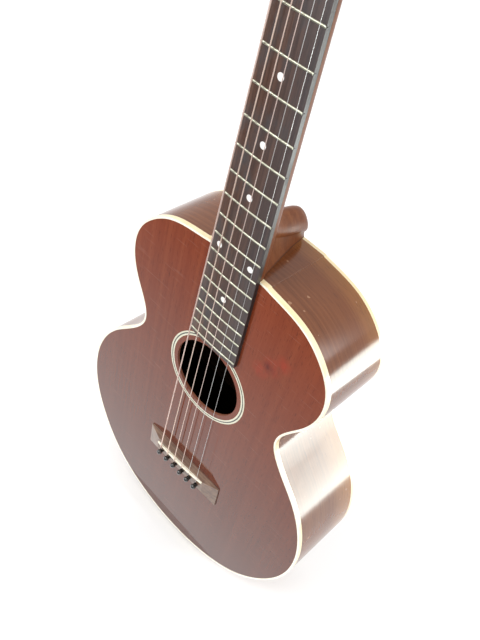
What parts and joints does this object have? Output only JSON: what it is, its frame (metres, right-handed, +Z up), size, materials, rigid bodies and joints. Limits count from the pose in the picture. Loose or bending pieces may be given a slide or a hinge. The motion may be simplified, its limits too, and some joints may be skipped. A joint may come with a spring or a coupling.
{
  "type": "acoustic guitar",
  "caption": "Small-bodied twelve-fret flat-top acoustic guitar in aged mahogany with cream binding, pyramid bridge, ball-headed pins and open-geared tuners.",
  "frame": {"origin": "middle of the strap button's head on the tail, on the guitar's centre line", "axes": "+Z up the neck towards the head, +Y from the soundboard towards the back, +X towards the treble strings"},
  "size_m": [0.3484, 0.1146, 0.9629],
  "materials": {
    "mahogany_top": "aged gloss lacquer",
    "mahogany_body": "aged gloss lacquer",
    "mahogany_neck": "worn satin lacquer",
    "rosewood": "oiled",
    "brace_wood": "bare",
    "cream_binding": "aged",
    "cream_line": "aged",
    "black_line": "polished",
    "bone": "polished",
    "black_pin": "polished",
    "nickel_silver": "polished",
    "pearl_dot": "polished",
    "nickel_plate": "aged nickel plating",
    "steel": "plain",
    "gear_brass": "aged",
    "bronze_wound": "wound",
    "button_plastic": "aged"
  },
  "bodies": {
    "guitar": {"soundboard": "mahogany_top", "back_plate": "mahogany_body", "side_bass": "mahogany_body", "side_treble": "mahogany_body", "neck_block": "mahogany_neck", "tail_block": "mahogany_neck", "top_linings": "brace_wood", "back_linings": "brace_wood", "top_braces": "brace_wood", "back_braces": "brace_wood", "bridge_plate": "rosewood", "back_centre_strip": "brace_wood", "top_binding_bass": "cream_binding", "top_binding_treble": "cream_binding", "back_binding_bass": "cream_binding", "back_binding_treble": "cream_binding", "rosette_cream_rings": "cream_line", "rosette_black_ring": "black_line", "bridge": "rosewood", "saddle": "bone", "bridge_pins": "black_pin", "strap_button": "black_pin", "neck": "mahogany_neck", "fingerboard": "rosewood", "frets": "nickel_silver", "position_dots": "pearl_dot", "nut": "bone", "headstock_veneer": "rosewood", "neck_bar": "steel", "tuner_plate_bass": "nickel_plate", "tuner_plate_treble": "nickel_plate", "tuner_screws": "nickel_plate", "tuner_bushings": "nickel_plate", "wound_strings": "bronze_wound", "plain_strings": "steel", "string_ball_ends": "gear_brass"},
    "key_low_e": {"worm_low_e": "steel", "button_low_e": "button_plastic"},
    "roller_low_e": {"string_post_low_e": "nickel_plate", "post_gear_low_e": "gear_brass"},
    "key_a": {"worm_a": "steel", "button_a": "button_plastic"},
    "roller_a": {"string_post_a": "nickel_plate", "post_gear_a": "gear_brass"},
    "key_d": {"worm_d": "steel", "button_d": "button_plastic"},
    "roller_d": {"string_post_d": "nickel_plate", "post_gear_d": "gear_brass"},
    "key_g": {"worm_g": "steel", "button_g": "button_plastic"},
    "roller_g": {"string_post_g": "nickel_plate", "post_gear_g": "gear_brass"},
    "key_b": {"worm_b": "steel", "button_b": "button_plastic"},
    "roller_b": {"string_post_b": "nickel_plate", "post_gear_b": "gear_brass"},
    "key_high_e": {"worm_high_e": "steel", "button_high_e": "button_plastic"},
    "roller_high_e": {"string_post_high_e": "nickel_plate", "post_gear_high_e": "gear_brass"}
  },
  "joints": [
    {"name": "turn_key_low_e", "type": "hinge", "parent": "guitar", "child": "key_low_e", "pos_m": [-0.021, -0.02072, 0.83273], "axis": [1, 0, 0], "continuous": true},
    {"name": "turn_post_low_e", "type": "hinge", "parent": "guitar", "child": "roller_low_e", "pos_m": [-0.021, -0.03928, 0.8455], "axis": [0, -0.9703, 0.2419], "continuous": true},
    {"name": "turn_key_a", "type": "hinge", "parent": "guitar", "child": "key_a", "pos_m": [-0.021, -0.01128, 0.87057], "axis": [1, 0, 0], "continuous": true},
    {"name": "turn_post_a", "type": "hinge", "parent": "guitar", "child": "roller_a", "pos_m": [-0.021, -0.02984, 0.88334], "axis": [0, -0.9703, 0.2419], "continuous": true},
    {"name": "turn_key_d", "type": "hinge", "parent": "guitar", "child": "key_d", "pos_m": [-0.021, -0.00185, 0.90841], "axis": [1, 0, 0], "continuous": true},
    {"name": "turn_post_d", "type": "hinge", "parent": "guitar", "child": "roller_d", "pos_m": [-0.021, -0.02041, 0.92118], "axis": [0, -0.9703, 0.2419], "continuous": true},
    {"name": "turn_key_g", "type": "hinge", "parent": "guitar", "child": "key_g", "pos_m": [0.021, -0.00185, 0.90841], "axis": [1, 0, 0], "continuous": true},
    {"name": "turn_post_g", "type": "hinge", "parent": "guitar", "child": "roller_g", "pos_m": [0.021, -0.02041, 0.92118], "axis": [0, -0.9703, 0.2419], "continuous": true},
    {"name": "turn_key_b", "type": "hinge", "parent": "guitar", "child": "key_b", "pos_m": [0.021, -0.01128, 0.87057], "axis": [1, 0, 0], "continuous": true},
    {"name": "turn_post_b", "type": "hinge", "parent": "guitar", "child": "roller_b", "pos_m": [0.021, -0.02984, 0.88334], "axis": [0, -0.9703, 0.2419], "continuous": true},
    {"name": "turn_key_high_e", "type": "hinge", "parent": "guitar", "child": "key_high_e", "pos_m": [0.021, -0.02072, 0.83273], "axis": [1, 0, 0], "continuous": true},
    {"name": "turn_post_high_e", "type": "hinge", "parent": "guitar", "child": "roller_high_e", "pos_m": [0.021, -0.03928, 0.8455], "axis": [0, -0.9703, 0.2419], "continuous": true}
  ],
  "couplings": [
    {"joint": "turn_post_low_e", "follows": "turn_key_low_e", "ratio": -0.071429},
    {"joint": "turn_post_a", "follows": "turn_key_a", "ratio": -0.071429},
    {"joint": "turn_post_d", "follows": "turn_key_d", "ratio": -0.071429},
    {"joint": "turn_post_g", "follows": "turn_key_g", "ratio": -0.071429},
    {"joint": "turn_post_b", "follows": "turn_key_b", "ratio": -0.071429},
    {"joint": "turn_post_high_e", "follows": "turn_key_high_e", "ratio": -0.071429}
  ]
}
